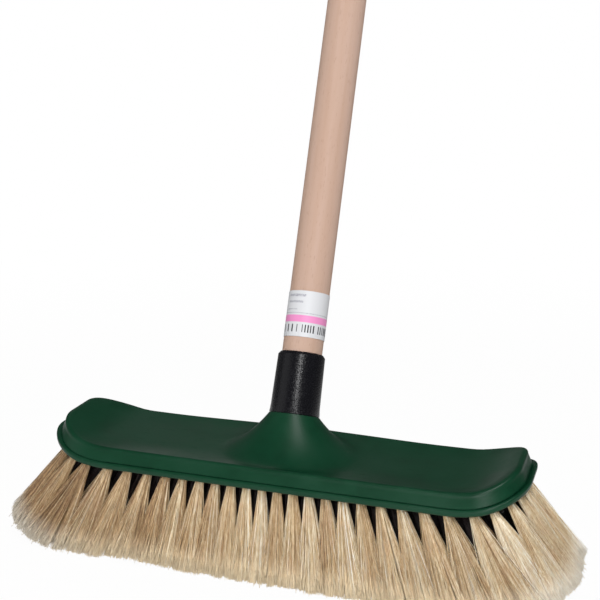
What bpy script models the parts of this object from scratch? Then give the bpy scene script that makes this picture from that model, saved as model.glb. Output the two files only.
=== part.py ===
"""A push broom: a tufted plastic head with a leaning socket, and the wooden handle pushed into it.

Frame: +X runs along the head, +Y is the side that the handle leans to, +Z is up. The origin is the
middle of the face that the bristle tips form. Lengths are in metres and angles in radians.
"""
from math import atan2, cos, floor, hypot, pi, radians, sin

import bmesh
import bpy
from mathutils import Matrix, Vector

# Fits shared by all pieces
FIT_GAP = 0.0003
CUT_OVERRUN = 0.002
WORD_TOLERANCE = 0.00001

# Handle, a turned beech stick
HANDLE_DIAMETER = 0.024
HANDLE_LENGTH = 1.300
HANDLE_LEAN = radians(23.3)
HANDLE_TOP_ROUNDING = 0.010
HANDLE_FOOT_CHAMFER = 0.0012
HANDLE_STEPS = 40
TOP_ARC_STEPS = 5

# Paper label round the handle
LABEL_HEIGHT = 0.0274
LABEL_ABOVE_SLEEVE = 0.0087
LABEL_THICKNESS = 0.0002
LABEL_GAP = 0.00015
LABEL_STEPS = 33

# Plate that holds the tufts, with the lip that shows below the cover
BRISTLE_DROP = 0.056
PLATE_LENGTH = 0.2859
PLATE_WIDTH = 0.0760
PLATE_CORNER_RADIUS = 0.0275
LIP_HEIGHT = 0.0042
LIP_ROUNDING = 0.0010
CORE_HEIGHT = 0.0028

# Upturned ends of the whole head
END_RISE = 0.0121
BEND_START = 0.1000
BEND_STEPS = 5

# Cover, a dished shell with the neck of the socket
SIDE_LEDGE = 0.0011
END_LEDGE = 0.0028
COVER_WALL = 0.0030
COVER_SIDE_HEIGHT = 0.0081
COVER_DRAFT = 0.0026
COVER_CORNER_RADIUS = 0.0270
RIM_ROUNDING = 0.0014
DISH_DEPTH = 0.0034
DISH_POWER = 2.2
DISH_SQUARENESS = 6.0
RIM_END_LIFT = 0.0028
FLARE_HALF_LENGTH = 0.0380
FLARE_HALF_WIDTH = 0.0298
FLARE_SETBACK = 0.0015
FLARE_POWER = 1.35
FLARE_SHARES = (0.1, 0.22, 0.36, 0.52, 0.72, 1.0)
DISH_SHARES = (0.12, 0.3, 0.52, 0.76, 1.0)

# Socket in the neck
AXIS_SETBACK = 0.0051
NECK_DIAMETER = 0.0300
NECK_RISE = 0.0174
SOCKET_DEPTH = 0.0149
SPIGOT_HEIGHT = 0.0080
SPIGOT_WALL = 0.0011

# Sleeve over the neck's spigot
SLEEVE_LENGTH = 0.0366
SLEEVE_TOP_DIAMETER = 0.0281
SLEEVE_FOOT_DIAMETER = 0.0293
SLEEVE_FLARE_DIAMETER = 0.0301
SLEEVE_FLARE_HEIGHT = 0.0045
SLEEVE_CHAMFER_HEIGHT = 0.0017
SLEEVE_RIM_LAND = 0.0004
SLEEVE_STEPS = 48

# Places of the tufts
RING_INSET = 0.0075
RING_CORNER_RADIUS = 0.0190
SIDE_TUFT_COUNT = 22
PITCH_GROWTH_SHARE = 0.00175
ROW_END_SHARE = 0.978
END_TUFT_COUNT = 7
INNER_ROW_SHARES = (-0.667, -0.333, 0.0, 0.333, 0.667)

# Shape of the tufts
TUFT_DIAMETER = 0.0056
TUFT_PLUG_DEPTH = 0.0034
STRANDS_PER_TUFT = 6
STRAND_MARGIN = 0.00022
STRAND_GROWTH = 1.35
TUFT_SPREAD_SHARES = (2.05, 1.9)
STRIP_WIDTH = 0.0044
STRIP_THICKNESS = 0.0034
LOCK_MARGIN = 0.0005
LOCK_GROWTH = 1.9
END_SPREAD = 1.7
END_STRAND_GROWTH = 1.45
END_CLUMP_LENGTH = 0.0050
FAN_REACH = 0.0360
FAN_POWER = 1.2
SPLAY_SHARE = 0.24
TRIM_START = 0.110
TRIM_RISE = 0.0185

# Points round the head's outlines, for a quarter turn
LONG_STEPS = 8
CORNER_STEPS = 5
SHORT_STEPS = 2
RING_POINTS = 4 * (LONG_STEPS + CORNER_STEPS + SHORT_STEPS)

# Worked out from the sizes above
HALF_LENGTH = PLATE_LENGTH / 2
HALF_WIDTH = PLATE_WIDTH / 2
UNDERSIDE_Z = BRISTLE_DROP
LIP_TOP_Z = UNDERSIDE_Z + LIP_HEIGHT
CORE_TOP_Z = LIP_TOP_Z + CORE_HEIGHT
RIM_Z = LIP_TOP_Z + COVER_SIDE_HEIGHT
HANDLE_RADIUS = HANDLE_DIAMETER / 2
NECK_RADIUS = NECK_DIAMETER / 2
BORE_RADIUS = HANDLE_RADIUS + FIT_GAP
SPIGOT_RADIUS = BORE_RADIUS + SPIGOT_WALL
SOCKET_FLOOR = NECK_RISE - SOCKET_DEPTH
RING_HALF_LENGTH = HALF_LENGTH - RING_INSET
RING_HALF_WIDTH = HALF_WIDTH - RING_INSET
TUFT_RADIUS = TUFT_DIAMETER / 2

AXIS_POINT = Vector((0, AXIS_SETBACK, RIM_Z))
AXIS_TURN = Matrix.Rotation(-HANDLE_LEAN, 4, 'X')
AXIS_FRAME = Matrix.Translation(AXIS_POINT) @ AXIS_TURN


def linear(channel):
    """One sRGB channel, 0 to 255, as a linear value."""
    share = channel / 255
    return share / 12.92 if share <= 0.04045 else ((share + 0.055) / 1.055) ** 2.4


def make_material(name, rgb, roughness):
    material = bpy.data.materials.new(name)
    material.use_nodes = True
    shader = material.node_tree.nodes['Principled BSDF']
    shader.inputs['Base Color'].default_value = (*[linear(channel) for channel in rgb], 1)
    shader.inputs['Roughness'].default_value = roughness
    shader.inputs['Metallic'].default_value = 0
    material.diffuse_color = shader.inputs['Base Color'].default_value
    return material


def make_object(name, shape, material, smooth_angle=None):
    """Turns a bmesh into a linked object with its faces pointing out."""
    bmesh.ops.recalc_face_normals(shape, faces=shape.faces)
    mesh = bpy.data.meshes.new(name)
    shape.to_mesh(mesh)
    shape.free()
    if smooth_angle is not None:
        mesh.shade_smooth()
        mesh.set_sharp_from_angle(angle=smooth_angle)
    item = bpy.data.objects.new(name, mesh)
    bpy.context.scene.collection.objects.link(item)
    if material is not None:
        mesh.materials.append(material)
    return item


def make_cutter(name, shape):
    cutter = make_object(name, shape, None)
    cutter.hide_render = True
    cutter.display_type = 'WIRE'
    return cutter


def gathered(shapes):
    """Several shapes that don't touch, as one."""
    whole = bmesh.new()
    for shape in shapes:
        mesh = bpy.data.meshes.new('gathered')
        shape.to_mesh(mesh)
        shape.free()
        whole.from_mesh(mesh)
    return whole


def cut(item, cutter):
    trim = item.modifiers.new(cutter.name, 'BOOLEAN')
    trim.operation = 'DIFFERENCE'
    trim.solver = 'EXACT'
    trim.object = cutter


# Outlines and the bend of the head

def rounded_rectangle(half_length, half_width, radius):
    """Points round a rounded rectangle, from the middle of its front edge towards +X."""
    long_end = half_length - radius
    short_end = half_width - radius
    quarter = [(long_end * i / LONG_STEPS, -half_width) for i in range(LONG_STEPS)]
    for i in range(CORNER_STEPS):
        angle = pi / 2 * i / CORNER_STEPS
        quarter.append((long_end + radius * sin(angle), -short_end - radius * cos(angle)))
    quarter += [(half_length, -short_end * (1 - i / SHORT_STEPS)) for i in range(SHORT_STEPS)]
    right_back = [(half_length, 0)] + [(x, -y) for x, y in reversed(quarter[1:])]
    right = quarter + right_back
    return right + [(-x, -y) for x, y in right]


def end_rise(x):
    """How far the head is lifted at x, in straight steps along a parabola."""
    share = max(0, (abs(x) - BEND_START) / (HALF_LENGTH - BEND_START)) * BEND_STEPS
    step = floor(share)
    low = (step / BEND_STEPS) ** 2
    high = ((step + 1) / BEND_STEPS) ** 2
    return END_RISE * (low + (high - low) * (share - step))


def rim_height(x):
    """Height of the cover's rim, which gains on the lip towards the ends, before the bend."""
    share = max(0, (abs(x) - BEND_START) / (HALF_LENGTH - BEND_START))
    return RIM_Z + RIM_END_LIFT * share ** 2


def bend_ends(shape):
    """Slices a shape across X where the bend changes slope, then lifts its ends."""
    for step in range(BEND_STEPS):
        place = BEND_START + (HALF_LENGTH - BEND_START) * step / BEND_STEPS
        for side in (-1, 1):
            bmesh.ops.bisect_plane(
                shape, geom=shape.verts[:] + shape.edges[:] + shape.faces[:],
                dist=WORD_TOLERANCE, plane_co=(side * place, 0, 0), plane_no=(1, 0, 0))
    for vert in shape.verts:
        vert.co.z += end_rise(vert.co.x)


def loft(loops, close_ends=True):
    """Skins a list of loops that have the same number of points, and closes both ends."""
    shape = bmesh.new()
    rows = [[shape.verts.new(point) for point in loop] for loop in loops]
    for low, high in zip(rows, rows[1:]):
        count = len(low)
        for i in range(count):
            after = (i + 1) % count
            shape.faces.new((low[i], low[after], high[after], high[i]))
    if close_ends:
        shape.faces.new(list(reversed(rows[0])))
        shape.faces.new(rows[-1])
    return shape


def level_loop(half_length, half_width, radius, z):
    return [(x, y, z) for x, y in rounded_rectangle(half_length, half_width, radius)]


def turned(profile, steps):
    """Spins a closed or axis-to-axis profile of (radius, height) points round Z."""
    shape = bmesh.new()
    points = [shape.verts.new((radius, 0, height)) for radius, height in profile]
    edges = [shape.edges.new(pair) for pair in zip(points, points[1:])]
    if profile[0][0] > 0:
        edges.append(shape.edges.new((points[-1], points[0])))
    bmesh.ops.spin(shape, geom=points + edges, cent=(0, 0, 0), axis=(0, 0, 1), dvec=(0, 0, 0),
                   angle=2 * pi, steps=steps, use_merge=True)
    bmesh.ops.remove_doubles(shape, verts=shape.verts, dist=WORD_TOLERANCE)
    return shape


# Handle and label

def build_handle(wood):
    foot = SOCKET_FLOOR + FIT_GAP
    top = foot + HANDLE_LENGTH
    flat_radius = HANDLE_RADIUS - HANDLE_TOP_ROUNDING
    profile = [(0, foot), (HANDLE_RADIUS - HANDLE_FOOT_CHAMFER, foot), (HANDLE_RADIUS, foot + HANDLE_FOOT_CHAMFER)]
    for i in range(TOP_ARC_STEPS + 1):
        angle = pi / 2 * i / TOP_ARC_STEPS
        profile.append((flat_radius + HANDLE_TOP_ROUNDING * cos(angle),
                        top - HANDLE_TOP_ROUNDING * (1 - sin(angle))))
    profile.append((0, top))
    handle = make_object('handle', turned(profile, HANDLE_STEPS), wood, radians(35))
    handle.matrix_world = AXIS_FRAME
    return handle


def build_label(paper, handle):
    """An open band of paper, its facets in line with the handle's, its slit at the back."""
    low = NECK_RISE + FIT_GAP + SLEEVE_LENGTH + LABEL_ABOVE_SLEEVE
    inner = HANDLE_RADIUS + LABEL_GAP
    outer = inner + LABEL_THICKNESS
    facet = 2 * pi / HANDLE_STEPS
    shape = bmesh.new()
    corners = [shape.verts.new((radius, 0, height)) for radius, height in
               ((inner, low), (outer, low), (outer, low + LABEL_HEIGHT), (inner, low + LABEL_HEIGHT))]
    profile = shape.faces.new(corners)
    first_step = round((pi / 2) / facet + (HANDLE_STEPS - LABEL_STEPS) / 2)
    bmesh.ops.rotate(shape, verts=shape.verts, cent=(0, 0, 0),
                     matrix=Matrix.Rotation(facet * first_step, 3, 'Z'))
    bmesh.ops.spin(shape, geom=[profile], cent=(0, 0, 0), axis=(0, 0, 1), dvec=(0, 0, 0),
                   angle=facet * LABEL_STEPS, steps=LABEL_STEPS, use_merge=False)
    label = make_object('handle_label', shape, paper, radians(35))
    label.parent = handle
    return label


# Sleeve

def build_sleeve(black):
    low = NECK_RISE + FIT_GAP
    top = low + SLEEVE_LENGTH
    counterbore = SPIGOT_RADIUS + FIT_GAP
    ledge = NECK_RISE + SPIGOT_HEIGHT + FIT_GAP
    profile = [
        (counterbore, low),
        (SLEEVE_FLARE_DIAMETER / 2, low),
        (SLEEVE_FOOT_DIAMETER / 2, low + SLEEVE_FLARE_HEIGHT),
        (SLEEVE_TOP_DIAMETER / 2, top - SLEEVE_CHAMFER_HEIGHT),
        (BORE_RADIUS + SLEEVE_RIM_LAND, top),
        (BORE_RADIUS, top),
        (BORE_RADIUS, ledge),
        (counterbore, ledge),
    ]
    sleeve = make_object('socket_sleeve', turned(profile, SLEEVE_STEPS), black, radians(25))
    sleeve.matrix_world = AXIS_FRAME
    return sleeve


# Cover

def cover_foot_size():
    return HALF_LENGTH - END_LEDGE, HALF_WIDTH - SIDE_LEDGE, COVER_CORNER_RADIUS


def cover_rim_size():
    half_length, half_width, radius = cover_foot_size()
    return half_length - COVER_DRAFT, half_width - COVER_DRAFT, radius - COVER_DRAFT


def shrunk(size, inset):
    half_length, half_width, radius = size
    return half_length - inset, half_width - inset, radius - inset


def axis_circle(radius, height):
    """A ring of points round the handle's axis, from its front towards +X."""
    ring = []
    for i in range(RING_POINTS):
        angle = 2 * pi * i / RING_POINTS
        ring.append(AXIS_FRAME @ Vector((radius * sin(angle), -radius * cos(angle), height)))
    return ring


def dish_height(x, y):
    """Height of the cover's hollow top, before the ends are lifted."""
    half_length, half_width, _ = cover_rim_size()
    reach = (abs(x / half_length) ** DISH_SQUARENESS
             + abs(y / half_width) ** DISH_SQUARENESS) ** (1 / DISH_SQUARENESS)
    return rim_height(x) - DISH_DEPTH * (1 - min(1, reach) ** DISH_POWER)


def flare_loops(seam):
    """Loops that lead from the neck's seam down to an oval base on the dish."""
    base = []
    for i in range(RING_POINTS):
        angle = 2 * pi * i / RING_POINTS
        x = FLARE_HALF_LENGTH * sin(angle)
        y = FLARE_SETBACK - FLARE_HALF_WIDTH * cos(angle)
        base.append(Vector((x, y, dish_height(x, y))))
    loops = []
    for share in FLARE_SHARES:
        loop = []
        for start, end in zip(seam, base):
            point = start.lerp(end, share)
            point.z = end.z + (start.z - end.z) * (1 - share) ** FLARE_POWER
            loop.append(point)
        loops.append(loop)
    return loops


def rim_loop(inset, drop):
    """An outline beside the rim, some way in from it and down from its height."""
    outline = rounded_rectangle(*shrunk(cover_rim_size(), inset))
    return [(x, y, rim_height(x) - drop) for x, y in outline]


def dish_loops(base):
    """Loops that lead from the flare's base out to the rim."""
    rim = rim_loop(RIM_ROUNDING, 0)
    loops = []
    for share in DISH_SHARES:
        loop = []
        for start, end in zip(base, rim):
            point = start.lerp(Vector(end), share)
            point.z = dish_height(point.x, point.y)
            loop.append(point)
        loops.append(loop)
    return loops


def cover_skin():
    """The cover's outside, from the socket's floor up, over the spigot and down to its foot."""
    seam = axis_circle(NECK_RADIUS, NECK_RISE)
    flare = flare_loops(seam)
    round_inset = RIM_ROUNDING * (1 - sin(pi / 4))
    loops = [
        axis_circle(BORE_RADIUS, SOCKET_FLOOR),
        axis_circle(BORE_RADIUS, NECK_RISE + SPIGOT_HEIGHT),
        axis_circle(SPIGOT_RADIUS, NECK_RISE + SPIGOT_HEIGHT),
        axis_circle(SPIGOT_RADIUS, NECK_RISE),
        seam,
        *flare,
        *dish_loops(flare[-1]),
        rim_loop(round_inset, round_inset),
        rim_loop(0, RIM_ROUNDING),
        level_loop(*cover_foot_size(), LIP_TOP_Z + FIT_GAP),
    ]
    shape = loft(loops)
    bend_ends(shape)
    return shape


def core_slab(grow, low, top):
    """The plate's core, or the cavity for it when grown."""
    size = shrunk(cover_foot_size(), COVER_WALL + FIT_GAP - grow)
    shape = loft([level_loop(*size, low), level_loop(*size, top)])
    bend_ends(shape)
    return shape


def build_cover(green):
    cover = make_object('head_cover', cover_skin(), green, radians(28))
    cavity = make_cutter('cavity_cutter', core_slab(FIT_GAP, LIP_TOP_Z - CUT_OVERRUN, CORE_TOP_Z + FIT_GAP))
    cut(cover, cavity)
    return cover


# Places of the tufts

def row_place(index):
    """X of a tuft in a side row, by its count from the middle: the pitch grows to the ends."""
    def grown(count):
        return count + PITCH_GROWTH_SHARE * count ** 3
    reach = (RING_HALF_LENGTH - RING_CORNER_RADIUS) * ROW_END_SHARE
    return reach * grown(index) / grown((SIDE_TUFT_COUNT - 1) / 2)


def side_row_places():
    middle = (SIDE_TUFT_COUNT - 1) / 2
    return [row_place(i - middle) for i in range(SIDE_TUFT_COUNT)]


def inner_row_places(row):
    """Every other inner row is set half a pitch over, with a tuft in the middle."""
    if row % 2:
        return side_row_places()
    reach = SIDE_TUFT_COUNT // 2
    return [row_place(i - reach) for i in range(2 * reach + 1)]


def end_path(distance):
    """A point of the right end's ring and its direction, measured from the end's middle."""
    straight = RING_HALF_WIDTH - RING_CORNER_RADIUS
    arc = RING_CORNER_RADIUS * pi / 2
    side = 1 if distance >= 0 else -1
    length = abs(distance)
    if length <= straight:
        return RING_HALF_LENGTH, side * length, 0, 1
    angle = min(length - straight, arc) / RING_CORNER_RADIUS
    past = max(0, length - straight - arc)
    x = RING_HALF_LENGTH - RING_CORNER_RADIUS * (1 - cos(angle)) - past
    y = straight + RING_CORNER_RADIUS * sin(angle)
    return x, side * y, -side * sin(angle), cos(angle)


def end_places():
    """Distances of the end's tufts along its ring, evenly spaced between the two side rows."""
    straight = RING_HALF_WIDTH - RING_CORNER_RADIUS
    arc = RING_CORNER_RADIUS * pi / 2
    last = straight + arc + (RING_HALF_LENGTH - RING_CORNER_RADIUS) * (1 - ROW_END_SHARE)
    pitch = 2 * last / (END_TUFT_COUNT + 1)
    return [pitch * (i - (END_TUFT_COUNT - 1) / 2) for i in range(END_TUFT_COUNT)]


def tip_place(x, y):
    """Where a tuft with its root at x, y ends: fanned out along X, splayed along Y and trimmed."""
    reach = FAN_REACH * (abs(x) / RING_HALF_LENGTH) ** FAN_POWER
    tip_x = x + reach if x > 0 else x - reach
    tip_y = y * (1 + SPLAY_SHARE)
    return Vector((tip_x, tip_y, trim_height(tip_x)))


def trim_height(x):
    """The tips lie flat on the floor in the middle and rise towards the ends."""
    full = RING_HALF_LENGTH + FAN_REACH - TRIM_START
    return TRIM_RISE * (max(0, abs(x) - TRIM_START) / full) ** 2


# Tufts

def grow_strands(shape, roots, centre, margin, growth, spread):
    """Insets each root face and draws it out into a strand that ends on the trimmed face."""
    bmesh.ops.inset_individual(shape, faces=roots, thickness=margin, depth=0, use_even_offset=True)
    drawn = bmesh.ops.extrude_discrete_faces(shape, faces=roots)['faces']
    for face in drawn:
        root = face.calc_center_median()
        middle = root if centre is None else Vector(centre)
        tip = tip_place(middle.x, middle.y)
        tip.x += (root.x - middle.x) * spread[0]
        tip.y += (root.y - middle.y) * spread[1]
        tip.z = trim_height(tip.x)
        for vert in face.verts:
            offset = vert.co - root
            vert.co = Vector((tip.x + offset.x * growth, tip.y + offset.y * growth, tip.z))


def build_tuft(name, x, y, hair):
    """One tuft of a side row: a round bundle in its hole that opens into strands."""
    foot = UNDERSIDE_Z + end_rise(x)
    shape = bmesh.new()
    bmesh.ops.create_cone(shape, cap_ends=True, cap_tris=True, segments=STRANDS_PER_TUFT,
                          radius1=TUFT_RADIUS, radius2=TUFT_RADIUS, depth=TUFT_PLUG_DEPTH,
                          matrix=Matrix.Translation((x, y, foot + TUFT_PLUG_DEPTH / 2)))
    bmesh.ops.recalc_face_normals(shape, faces=shape.faces)
    roots = [face for face in shape.faces if face.normal.z < -0.5]
    grow_strands(shape, roots, (x, y, foot), STRAND_MARGIN, STRAND_GROWTH, TUFT_SPREAD_SHARES)
    return make_object(name, shape, hair)


def strip_box(places, y, width, low, top):
    """A straight strip under a row of tufts, lifted at its ends as the plate is."""
    reach = max(places) + STRIP_WIDTH / 2 + (width - STRIP_WIDTH) / 2
    shape = bmesh.new()
    bmesh.ops.create_cube(shape, size=1, matrix=Matrix.Translation((0, y, (low + top) / 2))
                          @ Matrix.Diagonal((2 * reach, width, top - low, 1)))
    bend_ends(shape)
    return shape


def build_inner_row(name, places, y, hair):
    """An inner row: single thick locks fused to one strip that lies in the plate's channel."""
    shape = strip_box(places, y, STRIP_WIDTH, UNDERSIDE_Z, UNDERSIDE_Z + STRIP_THICKNESS)
    bmesh.ops.recalc_face_normals(shape, faces=shape.faces)
    half_root = STRIP_WIDTH / 2
    for place in places:
        for edge_x in (place - half_root, place + half_root):
            below = [face for face in shape.faces if face.normal.z < -0.5]
            rims = list({edge for face in below for edge in face.edges})
            bmesh.ops.bisect_plane(shape, geom=below + rims, dist=WORD_TOLERANCE,
                                   plane_co=(edge_x, 0, 0), plane_no=(1, 0, 0))
    roots = []
    for place in places:
        near = [face for face in shape.faces if face.normal.z < -0.5
                and abs(face.calc_center_median().x - place) < half_root]
        roots.append(max(near, key=lambda face: face.calc_area()))
    grow_strands(shape, roots, None, LOCK_MARGIN, LOCK_GROWTH, (0, 0))
    return make_object(name, shape, hair)


def end_ribbon(side, grow, depth, overrun):
    """The curved strip round one end, as faces between the edges of its tufts, pulled to a slab."""
    half_clump = END_CLUMP_LENGTH / 2
    half_width = STRIP_WIDTH / 2 + grow
    stations = [place + sign * half_clump for place in end_places() for sign in (-1, 1)]
    stations[0] -= grow
    stations[-1] += grow
    shape = bmesh.new()
    rows = []
    for station in stations:
        x, y, along_x, along_y = end_path(station)
        row = []
        for sign in (-1, 1):
            px = side * (x + sign * half_width * along_y)
            py = y - sign * half_width * along_x
            row.append(shape.verts.new((px, py, UNDERSIDE_Z + end_rise(px) - overrun)))
        rows.append(row)
    floor_faces = []
    for before, after in zip(rows, rows[1:]):
        floor_faces.append(shape.faces.new((before[0], before[1], after[1], after[0])))
    top = bmesh.ops.extrude_face_region(shape, geom=floor_faces)['geom']
    for item in top:
        if isinstance(item, bmesh.types.BMVert):
            item.co.z += depth + overrun
    shape.faces.ensure_lookup_table()
    bmesh.ops.recalc_face_normals(shape, faces=shape.faces)
    return shape, [face for face in shape.faces if face.normal.z < -0.5]


def build_end_tufts(name, side, hair):
    """The tufts round one end, each a clump of four strands, fused to a curved strip."""
    shape, below = end_ribbon(side, 0, STRIP_THICKNESS, 0)
    centres = [end_path(place)[:2] for place in end_places()]
    clumps = []
    for x, y in centres:
        near = min(below, key=lambda face: (face.calc_center_median().xy - Vector((side * x, y))).length)
        clumps.append((near, near.calc_center_median()))
    for face, middle in clumps:
        roots = bmesh.ops.poke(shape, faces=[face])['faces']
        grow_strands(shape, roots, middle, STRAND_MARGIN, END_STRAND_GROWTH, (END_SPREAD, END_SPREAD))
    return make_object(name, shape, hair)


# Plate

def plate_body():
    size = (HALF_LENGTH, HALF_WIDTH, PLATE_CORNER_RADIUS)
    core = shrunk(cover_foot_size(), COVER_WALL + FIT_GAP)
    loops = [
        level_loop(*shrunk(size, LIP_ROUNDING), UNDERSIDE_Z),
        level_loop(*size, UNDERSIDE_Z + LIP_ROUNDING),
        level_loop(*size, LIP_TOP_Z - LIP_ROUNDING),
        level_loop(*shrunk(size, LIP_ROUNDING), LIP_TOP_Z),
        level_loop(*core, LIP_TOP_Z),
        level_loop(*core, CORE_TOP_Z),
    ]
    shape = loft(loops)
    bend_ends(shape)
    return shape


def tuft_holes():
    """The blind holes of both side rows, as one mesh of separate prisms."""
    shape = bmesh.new()
    depth = TUFT_PLUG_DEPTH + FIT_GAP + CUT_OVERRUN
    radius = TUFT_RADIUS + FIT_GAP / cos(pi / STRANDS_PER_TUFT)
    for x in side_row_places():
        for y in (-RING_HALF_WIDTH, RING_HALF_WIDTH):
            middle = UNDERSIDE_Z + end_rise(x) - CUT_OVERRUN + depth / 2
            bmesh.ops.create_cone(shape, cap_ends=True, cap_tris=False, segments=STRANDS_PER_TUFT,
                                  radius1=radius, radius2=radius, depth=depth,
                                  matrix=Matrix.Translation((x, y, middle)))
    return shape


def build_plate(green):
    plate = make_object('tuft_plate', plate_body(), green, radians(28))
    hollows = [tuft_holes()]
    for row, share in enumerate(INNER_ROW_SHARES):
        hollows.append(strip_box(inner_row_places(row), share * RING_HALF_WIDTH, STRIP_WIDTH + 2 * FIT_GAP,
                                 UNDERSIDE_Z - CUT_OVERRUN, UNDERSIDE_Z + STRIP_THICKNESS + FIT_GAP))
    for side in (-1, 1):
        hollows.append(end_ribbon(side, FIT_GAP, STRIP_THICKNESS + FIT_GAP, CUT_OVERRUN)[0])
    cut(plate, make_cutter('hollow_cutter', gathered(hollows)))
    return plate


def build_tufts(light_hair, dark_hair):
    for row, y in (('front', -RING_HALF_WIDTH), ('back', RING_HALF_WIDTH)):
        for number, x in enumerate(side_row_places(), start=1):
            build_tuft(f'{row}_tuft_{number:02d}', x, y, light_hair)
    for side, name in ((-1, 'left'), (1, 'right')):
        build_end_tufts(f'{name}_end_tufts', side, light_hair)
    for row, share in enumerate(INNER_ROW_SHARES):
        build_inner_row(f'inner_tuft_row_{row + 1}', inner_row_places(row), share * RING_HALF_WIDTH, dark_hair)


def clear_scene():
    for item in list(bpy.data.objects):
        bpy.data.objects.remove(item, do_unlink=True)


def main():
    clear_scene()
    wood = make_material('beech_wood', (205, 170, 148), 0.55)
    paper = make_material('label_paper', (240, 240, 240), 0.6)
    black = make_material('black_plastic', (28, 28, 32), 0.45)
    green = make_material('green_plastic', (30, 72, 50), 0.4)
    light_hair = make_material('light_bristle', (190, 165, 130), 0.7)
    dark_hair = make_material('dark_bristle', (30, 20, 20), 0.7)
    handle = build_handle(wood)
    build_label(paper, handle)
    build_sleeve(black)
    build_cover(green)
    build_plate(green)
    build_tufts(light_hair, dark_hair)


main()
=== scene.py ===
"""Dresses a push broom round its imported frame: hair, plastic head, sleeve, label and stick.

Lengths are in metres and angles in radians. +X runs along the head, +Y is the side that the stick
leans to and +Z is up. The origin is the middle of the face that the bristle tips form.
"""
import logging
from dataclasses import dataclass
from enum import Enum
from math import cos, pi, radians, sin

import bmesh
import bpy
import numpy as np
from mathutils import Matrix, Vector


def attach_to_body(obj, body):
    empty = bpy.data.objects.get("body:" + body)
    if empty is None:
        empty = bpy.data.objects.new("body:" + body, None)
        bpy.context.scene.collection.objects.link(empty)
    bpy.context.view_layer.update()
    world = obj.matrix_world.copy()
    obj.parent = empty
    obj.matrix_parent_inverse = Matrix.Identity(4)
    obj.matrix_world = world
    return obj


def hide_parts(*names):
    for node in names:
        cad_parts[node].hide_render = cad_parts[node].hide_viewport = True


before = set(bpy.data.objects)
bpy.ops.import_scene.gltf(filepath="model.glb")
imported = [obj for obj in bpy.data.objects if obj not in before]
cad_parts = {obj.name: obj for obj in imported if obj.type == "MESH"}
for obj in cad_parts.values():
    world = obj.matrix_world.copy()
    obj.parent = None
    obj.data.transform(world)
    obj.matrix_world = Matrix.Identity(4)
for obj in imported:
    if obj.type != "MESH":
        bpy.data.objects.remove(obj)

log = logging.getLogger("push_broom")

MERGE = 0.000001
FIT_GAP = 0.0003
NOISE_SPAN = (0.3, 0.7)

Point = tuple[float, float, float]
Colour = tuple[int, int, int]
Span = tuple[float, float]
Relief = tuple[float, float]
Array = np.ndarray


class Slot(Enum):
    """The record's material slots."""

    BEECH = "beech_wood"
    PAPER = "label_paper"
    BLACK = "black_plastic"
    GREEN = "green_plastic"
    LIGHT_HAIR = "light_bristle"
    DARK_HAIR = "dark_bristle"


class Body(Enum):
    """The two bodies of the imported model."""

    HEAD = "head"
    STICK = "stick"


# Node graphs

@dataclass(frozen=True)
class Grain:
    """A layer of noise: features a metre, finer layers, how strong these are, and its stretch."""

    scale: float
    detail: float
    roughness: float
    stretch: Point = (1, 1, 1)


def linear(colour: Colour) -> tuple[float, float, float, float]:
    """Turns an sRGB colour into the linear one that a shader takes.

    Args:
        colour: Red, green and blue from 0 to 255.

    Returns:
        The linear colour with an alpha of one.
    """
    shares = [channel / 255 for channel in colour]
    made = [s / 12.92 if s <= 0.04045 else ((s + 0.055) / 1.055) ** 2.4 for s in shares]
    return made[0], made[1], made[2], 1.0


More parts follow.
